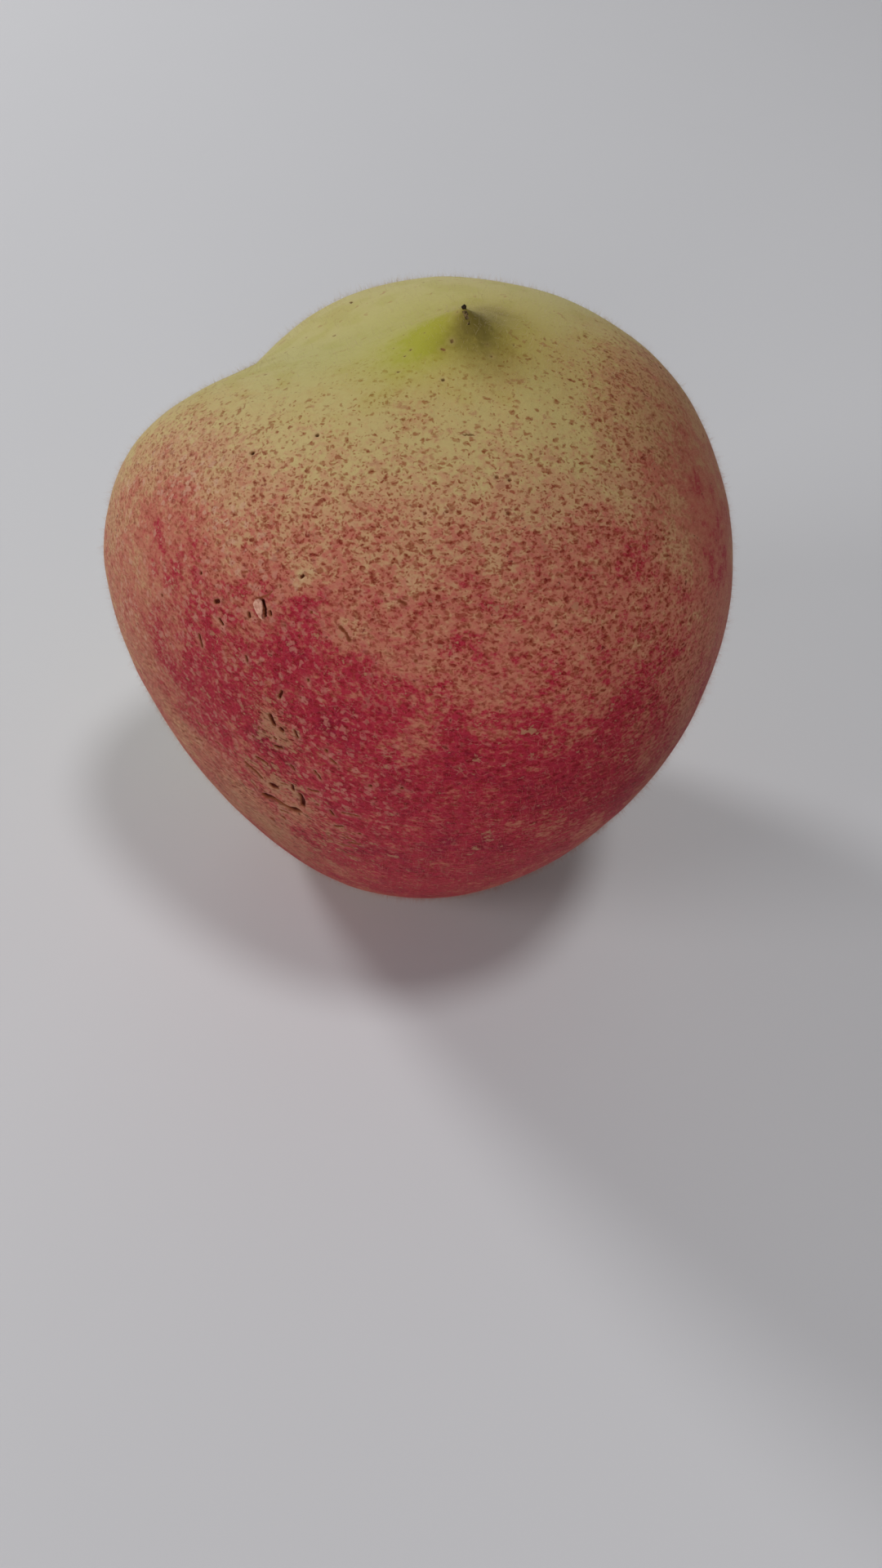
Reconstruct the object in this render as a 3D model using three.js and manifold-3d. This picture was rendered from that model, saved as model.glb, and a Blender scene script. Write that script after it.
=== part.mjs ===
// A peach, resting on its stem end with the pointed beak up.
//
// Millimetres, +Z up. The origin is on the surface that the fruit rests on,
// under the middle of it. +X is the fruit's right and +Y its back. The suture,
// the seam that runs from the beak to the stem, is on the back left.
//
// The fruit is one grown piece, so it is one closed solid. A sphere is reshaped
// by a few smooth rules: the height profile, an uneven outline seen from above,
// the suture, the stem cavity, the beak and a slight lean.

import * as THREE from 'three';
import { mergeVertices } from 'three/addons/utils/BufferGeometryUtils.js';
import Module from 'manifold-3d';

// ---- Driving dimensions, in millimetres unless the name says otherwise ----

// Body: radius of the widest ring, and the heights above and below it.
const BODY_RADIUS = 28.3;
const CROWN_HEIGHT = 25.8;
const BASE_DEPTH = 35.0;

// Shares by which the upper half is fuller than the lower half, and the crown
// and base are fuller than the middle.
const SHOULDER_SHARE = 0.14;
const POLE_SHARE = 0.02;

// Share by which the base is fuller around the stem, and how far that reaches.
const BASE_SHARE = 0.22;
const BASE_REACH = 15.6;

// Outline from above: an oval and a faint three-lobed swelling, each given as a
// share of the radius and the direction of its long axis in degrees.
const OVAL_SHARE = 0.048;
const OVAL_DIRECTION = 132.7;
const LOBE_SHARE = 0.042;
const LOBE_DIRECTION = 176.4;

// Suture: its direction in degrees, its depth, how far its front and back
// flanks reach, the width over which the two blend, where it fades near the
// poles, and the power by which it narrows toward them.
const SUTURE_DIRECTION = 147.9;
const SUTURE_DEPTH = 4.9;
const SUTURE_FRONT_REACH = 12.4;
const SUTURE_BACK_REACH = 9.25;
const SUTURE_BLEND = 3.4;
const SUTURE_FADE = 7.9;
const SUTURE_NARROWING = 0.75;

// Stem cavity, where the stalk was: its depth, how far it reaches, and the
// power that makes its walls steep and its floor round.
const CAVITY_DEPTH = 13.0;
const CAVITY_REACH = 7.8;
const CAVITY_STEEPNESS = 3;

// Beak, the pointed tip, and how far the crown leans to the right under it.
const BEAK_HEIGHT = 2.6;
const BEAK_REACH = 3.25;
const CROWN_SHIFT = 1.46;
const CROWN_REACH = 14.2;

// Lean of the whole fruit to the right and to the back, as shares of the height.
const LEAN_RIGHT = 0.06;
const LEAN_BACK = -0.022;

// Seat: height of the lowest bulge that is flat, where the fruit rests.
const SEAT_FLAT = 0.35;

// Mesh: columns around, rings from pole to pole, and how much closer together
// the rings are at the poles than at the middle, as a share.
const COLUMNS = 72;
const RINGS = 46;
const POLE_CROWDING = 0.5;

// Slivers that the cut leaves along the flat spot are merged below this length.
const SMALLEST_EDGE = 0.02;

const SKIN_COLOUR = 0xc98a62;
const SKIN_ROUGHNESS = 0.8;

// ---- Shape rules ----

const radians = THREE.MathUtils.degToRad;
const bell = (distance, reach) => Math.exp(-((distance / reach) ** 2));

// Angle from the apex for a ring number, with the rings crowded at both poles.
function polarAngle(ring) {
  const share = ring / RINGS;
  const crowding = (POLE_CROWDING * Math.sin(2 * Math.PI * share)) / (2 * Math.PI);
  return Math.PI * (share - crowding);
}

// Share of the full suture depth at a point: 1 along the seam, 0 far from it.
function sutureShare(polar, azimuth) {
  const sine = Math.abs(Math.sin(polar));
  const offset = azimuth - radians(SUTURE_DIRECTION);
  const turn = Math.atan2(Math.sin(offset), Math.cos(offset));
  const across = BODY_RADIUS * turn * sine ** SUTURE_NARROWING;
  const front = 0.5 * (1 + Math.tanh(across / SUTURE_BLEND));
  const reach = SUTURE_FRONT_REACH * front + SUTURE_BACK_REACH * (1 - front);
  const ownSide = 0.5 + 0.5 * Math.cos(turn);
  const outward = BODY_RADIUS * sine;
  const fade = outward ** 2 / (outward ** 2 + SUTURE_FADE ** 2);
  return bell(across, reach) * ownSide * fade;
}

// Distance of the skin from the fruit's own axis.
function skinRadius(polar, azimuth, sunk) {
  const sine = Math.sin(polar);
  const oval = OVAL_SHARE * Math.cos(2 * (azimuth - radians(OVAL_DIRECTION)));
  const lobes = LOBE_SHARE * Math.cos(3 * (azimuth - radians(LOBE_DIRECTION)));
  const base = BASE_SHARE * bell(BODY_RADIUS * (Math.PI - polar), BASE_REACH);
  const poles = POLE_SHARE * Math.cos(2 * polar);
  const profile = 1 + SHOULDER_SHARE * Math.cos(polar) + poles + base;
  return BODY_RADIUS * sine * profile * (1 + (oval + lobes) * sine) * (1 - sunk);
}

// Height of the skin over the widest ring. The suture sinks the crown, not the
// base, so that the fruit stands level.
function skinHeight(polar, sunk) {
  const cosine = Math.cos(polar);
  const halfHeight = (CROWN_HEIGHT + BASE_DEPTH) / 2;
  const unevenness = (CROWN_HEIGHT - BASE_DEPTH) / 2;
  const body = cosine * (halfHeight + unevenness * cosine);
  const fromStem = (BODY_RADIUS * (Math.PI - polar)) / CAVITY_REACH;
  const cavity = CAVITY_DEPTH * Math.exp(-(fromStem ** CAVITY_STEEPNESS));
  const beak = BEAK_HEIGHT * Math.exp((-BODY_RADIUS * polar) / BEAK_REACH);
  return (body + cavity) * (1 - sunk * 0.5 * (1 + cosine)) + beak;
}

// The point of the skin at an angle from the apex and an azimuth.
function skinPoint(polar, azimuth) {
  const sunk = (SUTURE_DEPTH / BODY_RADIUS) * sutureShare(polar, azimuth);
  const radius = skinRadius(polar, azimuth, sunk);
  const height = skinHeight(polar, sunk);
  const crown = CROWN_SHIFT * bell(BODY_RADIUS * polar, CROWN_REACH);
  return new THREE.Vector3(
    radius * Math.cos(azimuth) + LEAN_RIGHT * height + crown,
    radius * Math.sin(azimuth) + LEAN_BACK * height,
    height,
  );
}

function welded(geometry) {
  geometry.deleteAttribute('normal');
  geometry.deleteAttribute('uv');
  return mergeVertices(geometry);
}

// A sphere whose points are moved to the skin. Points that share a place on the
// sphere get the same angles, so that they weld.
function skinGeometry() {
  const geometry = new THREE.SphereGeometry(BODY_RADIUS, COLUMNS, RINGS);
  const points = geometry.getAttribute('position');
  for (let i = 0; i < points.count; i += 1) {
    const ring = Math.floor(i / (COLUMNS + 1));
    const column = (i % (COLUMNS + 1)) % COLUMNS;
    const onAxis = ring === 0 || ring === RINGS;
    const azimuth = onAxis ? 0 : (2 * Math.PI * column) / COLUMNS;
    const point = skinPoint(polarAngle(ring), azimuth);
    points.setXYZ(i, point.x, point.y, point.z);
  }
  return welded(geometry);
}

// ---- Solid ----

const wasm = await Module();
wasm.setup();

function solidOf(geometry) {
  const vertProperties = new Float32Array(geometry.getAttribute('position').array);
  const triVerts = new Uint32Array(geometry.getIndex().array);
  return new wasm.Manifold(new wasm.Mesh({ numProp: 3, vertProperties, triVerts }));
}

function geometryOf(solid) {
  const mesh = solid.getMesh();
  const geometry = new THREE.BufferGeometry();
  geometry.setAttribute('position', new THREE.BufferAttribute(mesh.vertProperties, 3));
  geometry.setIndex(new THREE.BufferAttribute(mesh.triVerts, 1));
  return geometry;
}

// The fruit with its lowest bulge cut flat, standing on z = 0 over the origin.
function fruitGeometry() {
  const skin = skinGeometry();
  skin.computeBoundingBox();
  skin.translate(0, 0, -skin.boundingBox.min.z - SEAT_FLAT);

  const slabSide = 4 * BODY_RADIUS;
  const slab = welded(new THREE.BoxGeometry(slabSide, slabSide, BODY_RADIUS));
  slab.translate(0, 0, -BODY_RADIUS / 2);

  const cut = solidOf(skin).subtract(solidOf(slab));
  const fruit = geometryOf(cut.asOriginal().simplify(SMALLEST_EDGE));
  fruit.computeBoundingBox();
  const middle = fruit.boundingBox.getCenter(new THREE.Vector3());
  fruit.translate(-middle.x, -middle.y, 0);
  fruit.computeVertexNormals();
  return fruit;
}

const skinMaterial = new THREE.MeshStandardMaterial({
  color: SKIN_COLOUR,
  roughness: SKIN_ROUGHNESS,
  metalness: 0,
});

const peach = new THREE.Mesh(fruitGeometry(), skinMaterial);
peach.name = 'peach';

const object = new THREE.Group();
object.add(peach);

export default object;
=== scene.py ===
# %% [markdown]
# # A small ripe peach
# A peach is one body with no joints: a thin velvety skin over soft flesh, drawn up to a little
# beak at the top, folded by one seam down its back, and hollowed underneath where the stalk grew.
# The measured solid is loaded first and never changed. It holds the size and the place of
# everything, and each finished piece is laid over it in the same metres.

# %% Load the measured solid
import math
import random
import bmesh
import bpy
import numpy as np
from mathutils import Matrix, Vector, kdtree, noise
from mathutils.bvhtree import BVHTree


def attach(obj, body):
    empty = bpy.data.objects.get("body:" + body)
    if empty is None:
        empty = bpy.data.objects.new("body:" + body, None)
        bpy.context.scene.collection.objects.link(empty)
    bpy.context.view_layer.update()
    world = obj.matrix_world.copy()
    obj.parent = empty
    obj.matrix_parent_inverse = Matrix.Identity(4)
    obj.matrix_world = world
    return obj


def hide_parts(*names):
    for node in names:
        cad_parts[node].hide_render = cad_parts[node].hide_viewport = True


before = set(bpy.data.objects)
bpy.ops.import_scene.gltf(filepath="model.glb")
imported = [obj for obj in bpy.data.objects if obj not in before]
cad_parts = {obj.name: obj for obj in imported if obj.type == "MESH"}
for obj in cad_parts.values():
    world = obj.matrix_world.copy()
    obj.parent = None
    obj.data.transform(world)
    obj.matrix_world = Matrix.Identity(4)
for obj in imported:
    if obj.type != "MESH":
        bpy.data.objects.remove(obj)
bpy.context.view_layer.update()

# %% [markdown]
# ## The camera
# The camera stands a hand's width above the table in front of the fruit and looks down at it.
# Its direction is built from two angles, pitch and roll, and turned into a matrix, because a
# matrix leaves no doubt about which way is up. The lens is given for the tall side of an
# upright picture.

# %% Camera
CAMERA_PLACE = Vector((0.003509, -0.089771, 0.105))
CAMERA_PITCH = math.radians(48.3)
CAMERA_ROLL = math.radians(2.64)
LENS = 28.125
LONG_SIDE = 36.0

ahead = Vector((0, math.cos(CAMERA_PITCH), -math.sin(CAMERA_PITCH)))
level_right = Vector((1, 0, 0))
level_up = level_right.cross(ahead)
right = level_right * math.cos(CAMERA_ROLL) + level_up * math.sin(CAMERA_ROLL)
up = level_up * math.cos(CAMERA_ROLL) - level_right * math.sin(CAMERA_ROLL)

camera_data = bpy.data.cameras.new("camera")
camera_data.sensor_fit = "VERTICAL"
camera_data.sensor_height = LONG_SIDE
camera_data.sensor_width = LONG_SIDE
camera_data.lens = LENS
camera_data.clip_start = 0.005
camera_data.clip_end = 20.0
camera = bpy.data.objects.new("camera", camera_data)
bpy.context.scene.collection.objects.link(camera)
facing = Matrix((right, up, -ahead)).transposed().to_4x4()
camera.matrix_world = Matrix.Translation(CAMERA_PLACE) @ facing
bpy.context.scene.camera = camera
print("camera looks", [round(v, 3) for v in ahead])

# %% [markdown]
# ## Floor and light
# A pale matt floor and five soft round lamps make a plain studio. Two lamps stand to the left,
# two broad ones are low in front and behind, and one hangs overhead, so the left shoulder is
# bright, the right flank falls into shade, and the shadows stay soft. The view transform is the
# plain one, so a colour in a material is the colour that the picture shows under full light.

# %% Helpers for materials
def add(tree, kind, sockets=None, **settings):
    """A new node, its settings, and its sockets set or wired by name or number."""
    made = tree.nodes.new(kind)
    for key, value in settings.items():
        setattr(made, key, value)
    for key, value in (sockets or {}).items():
        if isinstance(value, bpy.types.NodeSocket):
            tree.links.new(value, made.inputs[key])
        else:
            made.inputs[key].default_value = value
    return made


def maths(tree, operation, first, second=0.0, third=0.0):
    """One step of arithmetic on shares or numbers."""
    sockets = {0: first, 1: second, 2: third}
    return add(tree, "ShaderNodeMath", sockets, operation=operation).outputs[0]


def times(tree, first, *others):
    """The product of two or more shares or numbers."""
    for other in others:
        first = maths(tree, "MULTIPLY", first, other)
    return first


def rising(tree, value, start, end):
    """0 below start, 1 above end, and smooth between. Give start above end for a falling share."""
    sockets = {"Value": value, "From Min": start, "From Max": end}
    return add(tree, "ShaderNodeMapRange", sockets, interpolation_type="SMOOTHSTEP").outputs[0]


def tinted(tree, share, under, over):
    """The colour under, covered by the colour over in that share."""
    made = add(tree, "ShaderNodeMix", data_type="RGBA")
    for number, value in ((0, share), (6, under), (7, over)):
        if isinstance(value, bpy.types.NodeSocket):
            tree.links.new(value, made.inputs[number])
        else:
            made.inputs[number].default_value = value if number == 0 else (*value, 1.0)
    return made.outputs[2]


def shaded(tree, share, colour, tone):
    """The colour, multiplied by a tone in that share."""
    made = add(tree, "ShaderNodeMix", data_type="RGBA", blend_type="MULTIPLY")
    tree.links.new(share, made.inputs[0])
    tree.links.new(colour, made.inputs[6])
    made.inputs[7].default_value = (*tone, 1.0)
    return made.outputs[2]


def new_material(name, **finish):
    """A node material with its surface shader, and the finish set straight on the shader."""
    material = bpy.data.materials.new(name)
    material.use_nodes = True
    shader = material.node_tree.nodes["Principled BSDF"]
    for key, value in finish.items():
        shader.inputs[key.replace("_", " ")].default_value = value
    return material, material.node_tree, shader


def in_millimetres(tree, stretch=(1.0, 1.0, 1.0)):
    """The place on the piece in millimetres, so that a scale of 1 means one cell a millimetre."""
    place = add(tree, "ShaderNodeTexCoord").outputs["Object"]
    scale = tuple(1000.0 * s for s in stretch)
    return add(tree, "ShaderNodeMapping", {"Vector": place, "Scale": scale}).outputs[0]

# %% Floor
FLOOR_HALF_SIDE = 1.5
FLOOR_COLOUR = (0.70, 0.70, 0.72)
CLOUDING = 0.985

floor_mesh = bpy.data.meshes.new("floor")
bm = bmesh.new()
bmesh.ops.create_grid(bm, x_segments=1, y_segments=1, size=FLOOR_HALF_SIDE)
bm.to_mesh(floor_mesh)
bm.free()
floor = bpy.data.objects.new("floor", floor_mesh)
bpy.context.scene.collection.objects.link(floor)
paper, tree, shader = new_material("pale paper", Roughness=0.9, Specular_IOR_Level=0.15)
cloud = add(tree, "ShaderNodeTexNoise", {"Vector": in_millimetres(tree), "Scale": 0.03, "Detail": 3.0})
shade = tinted(tree, cloud.outputs[0], tuple(c * CLOUDING for c in FLOOR_COLOUR), FLOOR_COLOUR)
tree.links.new(shade, shader.inputs["Base Color"])
floor_mesh.materials.append(paper)
print("floor is", FLOOR_HALF_SIDE * 2, "m across")

# %% Lamps and surroundings
LAMP_DISTANCE = 0.8
# name, degrees round, degrees up, watts, width in metres
LAMPS = [
    ("lamp behind on the left", 142, 32, 2.3, 0.16),
    ("lamp in front on the left", 208, 30, 1.34, 0.32),
    ("low lamp in front", 262, 14, 1.75, 0.50),
    ("low lamp behind", 88, 16, 0.72, 0.50),
    ("lamp overhead", 330, 76, 1.58, 0.14),
]
SURROUNDINGS = (0.07, 0.07, 0.075, 1.0)

for name, round_, elevation, power, width in LAMPS:
    swung = Matrix.Rotation(math.radians(round_), 3, "Z")
    raised = Matrix.Rotation(-math.radians(elevation), 3, "Y")
    towards = swung @ raised @ Vector((1, 0, 0))
    lamp_data = bpy.data.lights.new(name, "AREA")
    lamp_data.shape = "DISK"
    lamp_data.size = width
    lamp_data.energy = power
    lamp = bpy.data.objects.new(name, lamp_data)
    lamp.location = towards * LAMP_DISTANCE
    lamp.rotation_euler = towards.to_track_quat("Z", "Y").to_euler()
    bpy.context.scene.collection.objects.link(lamp)

world = bpy.data.worlds.new("studio")
bpy.context.scene.world = world
world.use_nodes = True
world.node_tree.nodes["Background"].inputs["Color"].default_value = SURROUNDINGS
bpy.context.scene.view_settings.view_transform = "Standard"
print("lamps:", len(LAMPS))

# %% [markdown]
# ## The shape of the skin
# A peach is a ball that growth has pushed about: broad shoulders, a tapering underside, three
# faint lobes, one seam and a beak. A sculptor would draw these with brushes. Here each is a
# short formula with a depth and a reach in millimetres. The same formulas made the measured
# solid, so the skin lies on it, and any of them can be tried alone.

# %% Sizes of the fruit, in millimetres and degrees
BODY_RADIUS = 28.3
CROWN_HEIGHT = 25.8
BASE_DEPTH = 35.0
SHOULDER_SHARE = 0.14
POLE_SHARE = 0.02
BASE_SHARE = 0.22
BASE_REACH = 15.6
OVAL_SHARE = 0.048
OVAL_DIRECTION = 132.7
LOBE_SHARE = 0.042
LOBE_DIRECTION = 176.4
SUTURE_DIRECTION = 147.9
SUTURE_DEPTH = 4.9
SUTURE_FRONT_REACH = 12.4
SUTURE_BACK_REACH = 9.25
SUTURE_BLEND = 3.4
SUTURE_FADE = 7.9
SUTURE_NARROWING = 0.75
CAVITY_DEPTH = 13.0
CAVITY_REACH = 7.8
CAVITY_STEEPNESS = 3
BEAK_HEIGHT = 2.6
BEAK_REACH = 3.25
CROWN_SHIFT = 1.46
CROWN_REACH = 14.2
LEAN_RIGHT = 0.06
LEAN_BACK = -0.022
SEAT_FLAT = 0.35


def bell(distance, reach):
    """1 at no distance, about a third at the reach, and nearly 0 at twice the reach."""
    return np.exp(-((distance / reach) ** 2))


def angles_of(directions):
    """Polar angle from the beak, and azimuth, of unit vectors from the middle of the fruit."""
    polar = np.arccos(np.clip(directions[:, 2], -1.0, 1.0))
    return polar, np.arctan2(directions[:, 1], directions[:, 0])


def suture_share(polar, azimuth):
    """How strongly the seam pulls the skin in: 1 in its middle, 0 far from it."""
    sine = np.sin(polar)
    offset = azimuth - math.radians(SUTURE_DIRECTION)
    turn = np.arctan2(np.sin(offset), np.cos(offset))
    across = BODY_RADIUS * turn * sine**SUTURE_NARROWING
    front = 0.5 * (1 + np.tanh(across / SUTURE_BLEND))
    reach = SUTURE_FRONT_REACH * front + SUTURE_BACK_REACH * (1 - front)
    outward = BODY_RADIUS * sine
    fade = outward**2 / (outward**2 + SUTURE_FADE**2)
    return bell(across, reach) * (0.5 + 0.5 * np.cos(turn)) * fade


def fruit_points(directions):
    """Points on the skin in millimetres, before the fruit is set down."""
    polar, azimuth = angles_of(directions)
    sine = np.sin(polar)
    cosine = np.cos(polar)
    from_stalk = BODY_RADIUS * (math.pi - polar)
    sunk = SUTURE_DEPTH / BODY_RADIUS * suture_share(polar, azimuth)
    oval = OVAL_SHARE * np.cos(2 * (azimuth - math.radians(OVAL_DIRECTION)))
    lobes = LOBE_SHARE * np.cos(3 * (azimuth - math.radians(LOBE_DIRECTION)))
    base = BASE_SHARE * bell(from_stalk, BASE_REACH)
    profile = 1 + SHOULDER_SHARE * cosine + POLE_SHARE * np.cos(2 * polar) + base
    radius = BODY_RADIUS * sine * profile * (1 + (oval + lobes) * sine) * (1 - sunk)
    middle = (CROWN_HEIGHT + BASE_DEPTH) / 2
    body = cosine * (middle + (CROWN_HEIGHT - BASE_DEPTH) / 2 * cosine)
    cavity = CAVITY_DEPTH * np.exp(-((from_stalk / CAVITY_REACH) ** CAVITY_STEEPNESS))
    beak = BEAK_HEIGHT * np.exp(-BODY_RADIUS * polar / BEAK_REACH)
    height = (body + cavity) * (1 - sunk * 0.5 * (1 + cosine)) + beak
    crown = CROWN_SHIFT * bell(BODY_RADIUS * polar, CROWN_REACH)
    x = radius * np.cos(azimuth) + LEAN_RIGHT * height + crown
    y = radius * np.sin(azimuth) + LEAN_BACK * height
    return np.stack([x, y, height], axis=1)


def directions_at(azimuths, polars):
    """Unit vectors from lists of degrees round the fruit and degrees from its beak."""
    azimuth = np.radians(np.asarray(azimuths, float))
    polar = np.radians(np.asarray(polars, float))
    across = np.sin(polar)
    return np.stack([across * np.cos(azimuth), across * np.sin(azimuth), np.cos(polar)], axis=1)

# %% Set the fruit down
MILLIMETRE = 0.001
SMALL_STEP = 0.002

around, down = np.meshgrid(np.arange(0, 360, 1.0), np.arange(0.5, 180, 0.5))
sample = fruit_points(directions_at(around.ravel(), down.ravel()))
SETTING_DOWN = np.array([0.0, 0.0, -sample[:, 2].min() - SEAT_FLAT])
above_floor = sample[sample[:, 2] + SETTING_DOWN[2] > 0]
SETTING_DOWN[:2] = -(above_floor[:, :2].min(axis=0) + above_floor[:, :2].max(axis=0)) / 2


def seated_points(directions):
    """Points on the skin in metres, with the fruit standing on the floor."""
    points = fruit_points(directions) + SETTING_DOWN
    points[:, 2] = np.maximum(points[:, 2], 0.0)
    return points * MILLIMETRE


def outward_at(directions):
    """The way out of the skin at each of those directions."""
    helper = np.where(np.abs(directions[:, 2:3]) < 0.9, [[0.0, 0.0, 1.0]], [[1.0, 0.0, 0.0]])
    east = np.cross(helper, directions)
    east /= np.linalg.norm(east, axis=1, keepdims=True)
    north = np.cross(directions, east)

    def moved(way):
        there = directions + SMALL_STEP * way
        return fruit_points(there / np.linalg.norm(there, axis=1, keepdims=True))

    out = np.cross(moved(east) - moved(-east), moved(north) - moved(-north))
    return out / np.linalg.norm(out, axis=1, keepdims=True)


print("set down by", SETTING_DOWN.round(3), "mm")

# %% [markdown]
# ## Pits, slits and cracks
# Wind, hail and dry spells leave marks in the skin of a peach: round pits, short slits, a
# corky ring, and here a group of cracks low on the front. They could be painted, but real hollows
# catch the light from every side. Each mark is a line of points given by degrees round the
# fruit and degrees from the beak, with the half width and depth of its hollow in millimetres.

# %% Marks that have their own place
# half width, depth, then the points of the mark
MARKS = [
    (0.16, 0.16, [(228.2, 69.5), (229.2, 71.3)]),
    (0.14, 0.12, [(232.4, 63.9), (233.4, 64.5)]),
    (0.13, 0.12, [(239.4, 68.1), (239.8, 68.9)]),
    (0.16, 0.15, [(247.6, 71.3), (247.2, 72.7)]),
    (0.21, 0.20, [(245.6, 77.5), (246.4, 78.9)]),
    (0.25, 0.20, [(248.0, 79.3)]),
    (0.12, 0.12, [(250.8, 77.9), (251.4, 79.1)]),
    (0.15, 0.15, [(246.6, 83.9), (247.4, 83.7), (248.0, 83.5)]),
    (0.13, 0.10, [(243.0, 81.7)]),
    (0.15, 0.10, [(241.6, 84.5)]),
    (0.12, 0.10, [(246.4, 81.9), (246.8, 82.1)]),
    (0.16, 0.16, [(241.8, 89.7), (243.0, 89.5), (244.2, 89.7)]),
    (0.24, 0.24, [(238.6, 93.4), (240.0, 93.9), (240.8, 94.1), (242.0, 94.9)]),
    (0.19, 0.12, [(257.0, 79.1)]),
    (0.16, 0.15, [(257.8, 80.5), (258.8, 81.1)]),
    (0.13, 0.13, [(254.8, 85.1), (255.4, 85.7), (256.0, 86.5)]),
    (0.13, 0.13, [(250.0, 86.7), (250.6, 87.3)]),
    (0.32, 0.18, [(244.6, 95.5), (245.6, 95.1)]),
    (0.16, 0.12, [(249.8, 91.9), (249.8, 93.3)]),
    (0.22, 0.20, [(251.4, 93.5), (251.8, 94.7), (251.6, 96.7)]),
    (0.34, 0.34, [
        (241.6, 100.7), (243.0, 99.9), (244.4, 99.5), (246.6, 99.9), (248.6, 100.1), (250.4, 99.1),
    ]),
    (0.15, 0.12, [(255.0, 94.1)]),
    (0.12, 0.10, [(255.4, 92.3)]),
    (0.13, 0.12, [(253.4, 90.7), (254.4, 90.5), (255.4, 90.1)]),
    (0.14, 0.12, [(257.6, 94.3), (258.2, 95.3)]),
    (0.17, 0.10, [(264.8, 83.9)]),
    (0.14, 0.10, [(269.8, 82.7)]),
    (0.13, 0.12, [(258.2, 98.9), (260.0, 97.9)]),
    (0.18, 0.10, [(263.2, 98.5)]),
    (0.28, 0.10, [(241.2, 108.9)]),
    (0.24, 0.10, [(245.4, 105.3)]),
    (0.14, 0.13, [(246.6, 49.7), (246.9, 49.4)]),
    (0.12, 0.06, [(243.2, 52.7)]),
    (0.18, 0.12, [(225.4, 58.1)]),
    (0.16, 0.10, [(217.2, 67.3)]),
    (0.13, 0.08, [(216.0, 61.5)]),
    (0.22, 0.12, [(230.6, 61.3), (231.2, 60.9)]),
    (0.16, 0.10, [(238.4, 59.9), (238.7, 60.4)]),
    (0.12, 0.04, [(234.4, 53.7), (235.4, 53.1)]),
    (0.12, 0.08, [(246.2, 58.9)]),
    (0.15, 0.08, [(250.6, 54.7)]),
    (0.15, 0.10, [(252.4, 66.7)]),
    (0.12, 0.08, [(251.4, 70.7)]),
    (0.20, 0.13, [(218.2, 35.4)]),
    (0.18, 0.12, [(229.6, 27.4)]),
    (0.16, 0.10, [(179.2, 28.4)]),
    (0.16, 0.06, [(256.5, 55.4), (257.1, 55.7)]),
    (0.11, 0.06, [(257.1, 55.7), (257.9, 56.1), (258.2, 56.6)]),
    (0.18, 0.06, [(258.3, 56.8), (258.6, 57.0)]),
    (0.08, 0.03, [(239.0, 56.6), (240.2, 56.0), (241.2, 55.2), (241.9, 54.2)]),
    # These two marks are a crack under the loose flake's lifted side; their dark is also painted shadow
    # of the flake.
    (0.17, 0.22, [(240.5, 56.6), (241.3, 57.6), (241.7, 58.8)]),
    (0.12, 0.12, [(242.6, 57.7), (242.9, 58.2)]),
    (0.15, 0.06, [(266.0, 48.5), (267.2, 48.9)]),
    (0.13, 0.06, [(266.8, 45.3)]),
    (0.13, 0.05, [(263.4, 48.7)]),
    (0.14, 0.05, [(270.0, 57.7)]),
    (0.16, 0.08, [(261.8, 11.4)]),
    (0.14, 0.06, [(229.2, 12.0)]),
    (0.09, 0.06, [(276.2, 20.8), (279.6, 20.8)]),
    (0.18, 0.06, [(285.4, 28.0)]),
    (0.16, 0.08, [(288.6, 28.6)]),
    (0.18, 0.08, [(286.8, 33.8)]),
    (0.15, 0.08, [(268.2, 34.2)]),
    (0.15, 0.08, [(273.0, 33.6)]),
    (0.11, 0.06, [(195.0, 0.9)]),
    (0.11, 0.06, [(254.8, 4.6), (256.5, 4.9)]),
    (0.13, 0.03, [(247.0, 6.2), (251.0, 6.3)]),
    (0.12, 0.05, [(214.2, 8.0)]),
    (0.12, 0.05, [(217.6, 9.2)]),
    (0.11, 0.02, [(198.4, 5.2)]),
    (0.10, 0.03, [(176.0, 7.8)]),
    (0.10, 0.05, [(303.6, 7.8)]),
    (0.09, 0.03, [(308.6, 5.8)]),
    (0.10, 0.05, [(337.2, 8.0)]),
    (0.10, 0.04, [(57.8, 10.8)]),
    (0.10, 0.04, [(196.0, 9.4)]),
]
print("marks with their own place:", len(MARKS))

# %% Marks scattered over the rest of the fruit
# The front already has its own marks, so a scattered one that falls there is drawn again.
SCATTERED_MARKS = 130
MARK_SEED = 11
LOW_SLITS = 34
FRONT_FROM = 205
FRONT_TO = 345
FRONT_DOWN_TO = 115

scatter = random.Random(MARK_SEED)
placed_marks = len(MARKS)
while len(MARKS) < placed_marks + SCATTERED_MARKS:
    azimuth = scatter.uniform(0, 360)
    polar = math.degrees(math.acos(scatter.uniform(-0.85, 0.9)))
    if FRONT_FROM < azimuth < FRONT_TO and polar < FRONT_DOWN_TO:
        continue
    turn = scatter.uniform(0, math.pi)
    length = scatter.choice((0.0, 0.0, 0.7, 1.2))
    end = (azimuth + length * math.cos(turn), polar + length * math.sin(turn))
    width = scatter.uniform(0.07, 0.17)
    depth = scatter.uniform(0.02, 0.10)
    MARKS.append((width, depth, [(azimuth, polar), end]))
for _ in range(LOW_SLITS):
    azimuth = scatter.uniform(222, 264)
    polar = scatter.uniform(90, 126)
    end = (azimuth + scatter.uniform(1.2, 3.6), polar + scatter.uniform(-0.9, 0.9))
    width = scatter.uniform(0.07, 0.13)
    depth = scatter.uniform(0.05, 0.12)
    MARKS.append((width, depth, [(azimuth, polar), end]))
print("marks in all:", len(MARKS))

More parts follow.
